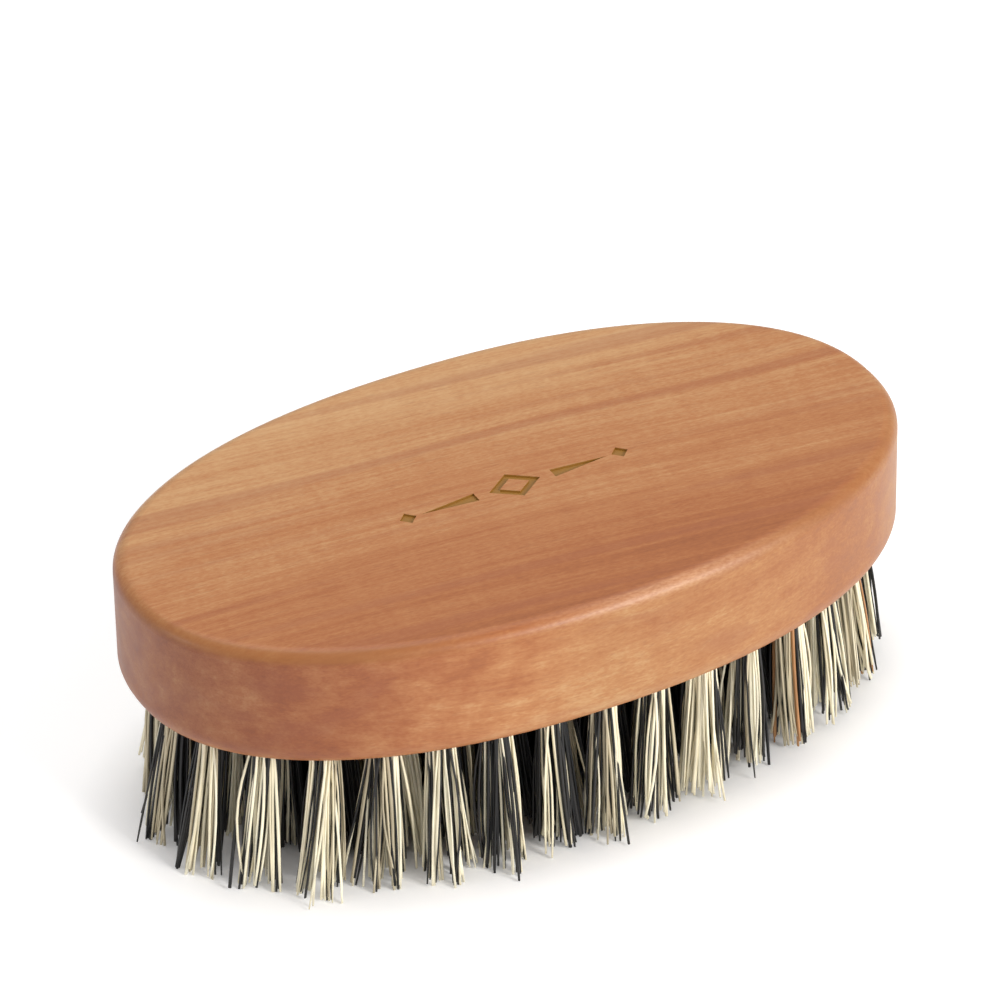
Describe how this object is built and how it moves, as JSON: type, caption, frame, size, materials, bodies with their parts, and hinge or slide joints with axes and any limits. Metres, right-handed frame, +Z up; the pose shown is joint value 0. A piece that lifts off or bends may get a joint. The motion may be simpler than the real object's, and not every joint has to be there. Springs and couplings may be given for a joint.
{
  "type": "beard brush",
  "caption": "Oval pocket beard brush: a smooth wooden back with rounded edges and rings of mixed dark and cream fibre tufts set in its underside.",
  "frame": {"origin": "middle of the plane of the cut fibre tips, on which the brush stands", "axes": "+X along the oval's long axis, +Y across it, +Z up from the fibre tips to the flat wooden back"},
  "size_m": [0.09, 0.0507, 0.0319],
  "materials": {
    "wood": "oiled satin",
    "fibre": "natural plant fibre, black and cream mixed",
    "anchor_wire": "drawn flat wire"
  },
  "bodies": {
    "root": {"anchor_wires_centre_ring": "anchor_wire", "anchor_wires_outer_ring": "anchor_wire", "anchor_wires_second_ring": "anchor_wire", "anchor_wires_third_ring": "anchor_wire", "tuft_centre_ring_01": "fibre", "tuft_centre_ring_02": "fibre", "tuft_centre_ring_03": "fibre", "tuft_centre_ring_04": "fibre", "tuft_centre_ring_05": "fibre", "tuft_centre_ring_06": "fibre", "tuft_centre_ring_07": "fibre", "tuft_centre_ring_08": "fibre", "tuft_centre_ring_09": "fibre", "tuft_centre_ring_10": "fibre", "tuft_centre_ring_11": "fibre", "tuft_centre_ring_12": "fibre", "tuft_centre_ring_13": "fibre", "tuft_centre_ring_14": "fibre", "tuft_outer_ring_01": "fibre", "tuft_outer_ring_02": "fibre", "tuft_outer_ring_03": "fibre", "tuft_outer_ring_04": "fibre", "tuft_outer_ring_05": "fibre", "tuft_outer_ring_06": "fibre", "tuft_outer_ring_07": "fibre", "tuft_outer_ring_08": "fibre", "tuft_outer_ring_09": "fibre", "tuft_outer_ring_10": "fibre", "tuft_outer_ring_11": "fibre", "tuft_outer_ring_12": "fibre", "tuft_outer_ring_13": "fibre", "tuft_outer_ring_14": "fibre", "tuft_outer_ring_15": "fibre", "tuft_outer_ring_16": "fibre", "tuft_outer_ring_17": "fibre", "tuft_outer_ring_18": "fibre", "tuft_outer_ring_19": "fibre", "tuft_outer_ring_20": "fibre", "tuft_outer_ring_21": "fibre", "tuft_outer_ring_22": "fibre", "tuft_outer_ring_23": "fibre", "tuft_outer_ring_24": "fibre", "tuft_outer_ring_25": "fibre", "tuft_outer_ring_26": "fibre", "tuft_outer_ring_27": "fibre", "tuft_outer_ring_28": "fibre", "tuft_outer_ring_29": "fibre", "tuft_outer_ring_30": "fibre", "tuft_outer_ring_31": "fibre", "tuft_outer_ring_32": "fibre", "tufts_second_ring": "fibre", "tufts_third_ring": "fibre", "wood_body": "wood"}
  },
  "joints": []
}
